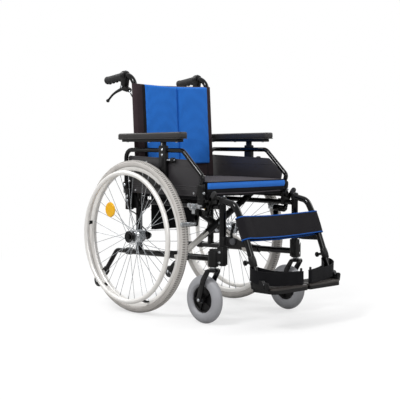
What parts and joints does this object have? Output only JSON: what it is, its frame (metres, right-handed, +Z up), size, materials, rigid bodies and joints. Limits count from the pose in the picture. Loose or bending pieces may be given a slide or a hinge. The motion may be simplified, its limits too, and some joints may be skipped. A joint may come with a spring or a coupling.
{
  "type": "folding wheelchair",
  "caption": "Folding self-propelled wheelchair with drum brakes, flip-back arm rests, swing-away leg rests, casters, anti-tippers and a padded fabric seat and back.",
  "frame": {"origin": "on the floor, under the middle of the chair's box", "axes": "+Z up; the chair faces -Y; +X is the left hand of the person seated"},
  "size_m": [0.651, 1.0296, 0.9707],
  "materials": {
    "frame": "gloss black enamel over steel tube",
    "bright_steel": "bright zinc and chrome plate",
    "fittings": "satin black moulded nylon and black-coated steel fittings",
    "grip": "matt black moulded rubber",
    "lever": "satin black",
    "cable": "smooth black cable sleeve",
    "guard": "black moulded sheet, semi-gloss",
    "pad": "matt self-skinned foam",
    "tyre": "pale grey rubber",
    "caster_tyre": "mid grey solid rubber",
    "foot_plate": "black moulded composite, fine grain",
    "blue_fabric": "blue woven nylon with black panels",
    "webbing": "charcoal woven nylon"
  },
  "bodies": {
    "right_frame": {"right_side_frame": "frame", "right_back_cane": "frame", "right_push_grip": "grip", "right_brake_cable": "cable", "right_axle_and_brake": "bright_steel", "right_caster_housing": "fittings", "right_lock_bracket": "bright_steel", "back_cover": "blue_fabric"},
    "left_frame": {"left_side_frame": "frame", "left_back_cane": "frame", "left_push_grip": "grip", "left_brake_cable": "cable", "left_axle_and_brake": "bright_steel", "left_caster_housing": "fittings", "left_lock_bracket": "bright_steel"},
    "brace_front": {"brace_a": "frame"},
    "brace_rear": {"brace_b": "frame"},
    "seat": {"seat_cushion": "blue_fabric", "seat_sling": "webbing"},
    "left_wheel": {"left_rear_tyre": "tyre", "left_rear_wheel": "bright_steel", "left_push_rim": "bright_steel"},
    "left_button": {"left_axle_button": "bright_steel"},
    "left_swivel": {"left_caster_fork": "frame"},
    "left_caster": {"left_caster_tyre": "caster_tyre", "left_caster_hub": "fittings"},
    "left_armrest": {"left_armrest_hoop": "frame", "left_side_guard": "guard"},
    "left_pad": {"left_armrest_pad": "pad"},
    "left_brake_lever": {"left_brake_lever": "lever"},
    "left_lock_lever": {"left_lock_lever": "fittings"},
    "left_lock_shoe": {"left_lock_shoe": "fittings"},
    "left_hanger": {"left_hanger": "frame"},
    "left_latch": {"left_hanger_latch": "fittings"},
    "left_extension": {"left_foot_extension": "frame"},
    "left_foot": {"left_foot_plate": "foot_plate", "left_heel_loop": "webbing"},
    "left_anti_tip": {"left_anti_tip_tube": "frame"},
    "left_anti_tip_wheel": {"left_anti_tip_wheel": "grip"},
    "right_wheel": {"right_rear_tyre": "tyre", "right_rear_wheel": "bright_steel", "right_push_rim": "bright_steel"},
    "right_button": {"right_axle_button": "bright_steel"},
    "right_swivel": {"right_caster_fork": "frame"},
    "right_caster": {"right_caster_tyre": "caster_tyre", "right_caster_hub": "fittings"},
    "right_armrest": {"right_armrest_hoop": "frame", "right_side_guard": "guard"},
    "right_pad": {"right_armrest_pad": "pad"},
    "right_brake_lever": {"right_brake_lever": "lever"},
    "right_lock_lever": {"right_lock_lever": "fittings"},
    "right_lock_shoe": {"right_lock_shoe": "fittings"},
    "right_hanger": {"right_hanger": "frame", "calf_strap": "webbing"},
    "right_latch": {"right_hanger_latch": "fittings"},
    "right_extension": {"right_foot_extension": "frame"},
    "right_foot": {"right_foot_plate": "foot_plate", "right_heel_loop": "webbing"},
    "right_anti_tip": {"right_anti_tip_tube": "frame"},
    "right_anti_tip_wheel": {"right_anti_tip_wheel": "grip"}
  },
  "joints": [
    {"name": "fold", "type": "hinge", "parent": "right_frame", "child": "brace_front", "pos_m": [-0.202, -0.03323, 0.23992], "axis": [0, -1, 0], "range_deg": [0, 36], "deforming": ["seat_cushion", "seat_sling", "back_cover", "calf_strap"]},
    {"name": "brace_cross", "type": "hinge", "parent": "brace_front", "child": "brace_rear", "pos_m": [0, -0.01923, 0.35796], "axis": [0, 1, 0], "range_deg": [0, 72]},
    {"name": "left_frame_pivot", "type": "hinge", "parent": "brace_rear", "child": "left_frame", "pos_m": [0.202, -0.00523, 0.23992], "axis": [0, -1, 0], "range_deg": [0, 36]},
    {"name": "seat_rail_pivot", "type": "hinge", "parent": "brace_front", "child": "seat", "pos_m": [0.202, -0.03323, 0.476], "axis": [0, 1, 0], "range_deg": [0, 36]},
    {"name": "left_wheel_spin", "type": "hinge", "parent": "left_frame", "child": "left_wheel", "pos_m": [0.267, 0.16977, 0.305], "axis": [1, 0, 0], "continuous": true},
    {"name": "left_button_push", "type": "slide", "parent": "left_frame", "child": "left_button", "axis": [-1, 0, 0], "range_m": [0, 0.004], "stiffness_N_per_m": 600, "springref_m": -0.002},
    {"name": "left_caster_swivel", "type": "hinge", "parent": "left_frame", "child": "left_swivel", "pos_m": [0.232, -0.24523, 0.24], "axis": [0, 0, 1], "continuous": true},
    {"name": "left_caster_spin", "type": "hinge", "parent": "left_swivel", "child": "left_caster", "pos_m": [0.232, -0.19823, 0.0914], "axis": [1, 0, 0], "continuous": true},
    {"name": "left_armrest_flip", "type": "hinge", "parent": "left_frame", "child": "left_armrest", "pos_m": [0.233, 0.26277, 0.508], "axis": [-1, 0, 0], "range_deg": [0, 90]},
    {"name": "left_pad_height", "type": "slide", "parent": "left_armrest", "child": "left_pad", "axis": [0, 0, 1], "range_m": [0, 0.06]},
    {"name": "left_brake_squeeze", "type": "hinge", "parent": "left_frame", "child": "left_brake_lever", "pos_m": [0.202, 0.31577, 0.908], "axis": [1, 0, 0], "range_deg": [0, 22], "stiffness_Nm_per_rad": 1.5, "springref_deg": -11.46},
    {"name": "left_lock_throw", "type": "hinge", "parent": "left_frame", "child": "left_lock_lever", "pos_m": [0.225, -0.19423, 0.412], "axis": [1, 0, 0], "range_deg": [0, 8]},
    {"name": "left_lock_press", "type": "hinge", "parent": "left_frame", "child": "left_lock_shoe", "pos_m": [0.225, -0.14823, 0.421], "axis": [1, 0, 0], "range_deg": [0, 5]},
    {"name": "left_hanger_swing", "type": "hinge", "parent": "left_frame", "child": "left_hanger", "pos_m": [0.202, -0.26423, 0.4], "axis": [0, 0, 1], "range_deg": [0, 90], "deforming": ["calf_strap"]},
    {"name": "left_latch_release", "type": "hinge", "parent": "left_hanger", "child": "left_latch", "pos_m": [0.208, -0.32223, 0.318], "axis": [-1, 0, 0], "range_deg": [0, 12], "stiffness_Nm_per_rad": 0.3, "springref_deg": -11.46},
    {"name": "left_extension_slide", "type": "slide", "parent": "left_hanger", "child": "left_extension", "axis": [0, -0.3786, -0.9255], "range_m": [0, 0.05]},
    {"name": "left_foot_flip", "type": "hinge", "parent": "left_extension", "child": "left_foot", "pos_m": [0.202, -0.46223, 0.172], "axis": [0, 1, 0], "range_deg": [0, 90], "deforming": ["left_heel_loop"]},
    {"name": "left_anti_tip_turn", "type": "hinge", "parent": "left_frame", "child": "left_anti_tip", "pos_m": [0.202, 0.29977, 0.232], "axis": [0, 0.9997, -0.0248], "range_deg": [0, 180]},
    {"name": "left_anti_tip_spin", "type": "hinge", "parent": "left_anti_tip", "child": "left_anti_tip_wheel", "pos_m": [0.202, 0.48777, 0.09], "axis": [1, 0, 0], "continuous": true},
    {"name": "right_wheel_spin", "type": "hinge", "parent": "right_frame", "child": "right_wheel", "pos_m": [-0.267, 0.16977, 0.305], "axis": [1, 0, 0], "continuous": true},
    {"name": "right_button_push", "type": "slide", "parent": "right_frame", "child": "right_button", "axis": [1, 0, 0], "range_m": [0, 0.004], "stiffness_N_per_m": 600, "springref_m": -0.002},
    {"name": "right_caster_swivel", "type": "hinge", "parent": "right_frame", "child": "right_swivel", "pos_m": [-0.232, -0.24523, 0.24], "axis": [0, 0, 1], "continuous": true},
    {"name": "right_caster_spin", "type": "hinge", "parent": "right_swivel", "child": "right_caster", "pos_m": [-0.232, -0.19823, 0.0914], "axis": [1, 0, 0], "continuous": true},
    {"name": "right_armrest_flip", "type": "hinge", "parent": "right_frame", "child": "right_armrest", "pos_m": [-0.233, 0.26277, 0.508], "axis": [-1, 0, 0], "range_deg": [0, 90]},
    {"name": "right_pad_height", "type": "slide", "parent": "right_armrest", "child": "right_pad", "axis": [0, 0, 1], "range_m": [0, 0.06]},
    {"name": "right_brake_squeeze", "type": "hinge", "parent": "right_frame", "child": "right_brake_lever", "pos_m": [-0.202, 0.31577, 0.908], "axis": [1, 0, 0], "range_deg": [0, 22], "stiffness_Nm_per_rad": 1.5, "springref_deg": -11.46},
    {"name": "right_lock_throw", "type": "hinge", "parent": "right_frame", "child": "right_lock_lever", "pos_m": [-0.225, -0.19423, 0.412], "axis": [1, 0, 0], "range_deg": [0, 8]},
    {"name": "right_lock_press", "type": "hinge", "parent": "right_frame", "child": "right_lock_shoe", "pos_m": [-0.225, -0.14823, 0.421], "axis": [1, 0, 0], "range_deg": [0, 5]},
    {"name": "right_hanger_swing", "type": "hinge", "parent": "right_frame", "child": "right_hanger", "pos_m": [-0.202, -0.26423, 0.4], "axis": [0, 0, -1], "range_deg": [0, 90], "deforming": ["calf_strap"]},
    {"name": "right_latch_release", "type": "hinge", "parent": "right_hanger", "child": "right_latch", "pos_m": [-0.208, -0.32223, 0.318], "axis": [-1, 0, 0], "range_deg": [0, 12], "stiffness_Nm_per_rad": 0.3, "springref_deg": -11.46},
    {"name": "right_extension_slide", "type": "slide", "parent": "right_hanger", "child": "right_extension", "axis": [0, -0.3786, -0.9255], "range_m": [0, 0.05]},
    {"name": "right_foot_flip", "type": "hinge", "parent": "right_extension", "child": "right_foot", "pos_m": [-0.202, -0.46223, 0.172], "axis": [0, -1, 0], "range_deg": [0, 90], "deforming": ["right_heel_loop"]},
    {"name": "right_anti_tip_turn", "type": "hinge", "parent": "right_frame", "child": "right_anti_tip", "pos_m": [-0.202, 0.29977, 0.232], "axis": [0, -0.9997, 0.0248], "range_deg": [0, 180]},
    {"name": "right_anti_tip_spin", "type": "hinge", "parent": "right_anti_tip", "child": "right_anti_tip_wheel", "pos_m": [-0.202, 0.48777, 0.09], "axis": [1, 0, 0], "continuous": true}
  ],
  "couplings": [
    {"joint": "brace_cross", "follows": "fold", "ratio": 2},
    {"joint": "left_frame_pivot", "follows": "fold", "ratio": 1},
    {"joint": "seat_rail_pivot", "follows": "fold", "ratio": 1},
    {"joint": "left_lock_press", "follows": "left_lock_throw", "ratio": 0.625},
    {"joint": "left_foot_flip", "follows": "fold", "ratio": 2.5},
    {"joint": "right_lock_press", "follows": "right_lock_throw", "ratio": 0.625},
    {"joint": "right_foot_flip", "follows": "fold", "ratio": 2.5}
  ]
}
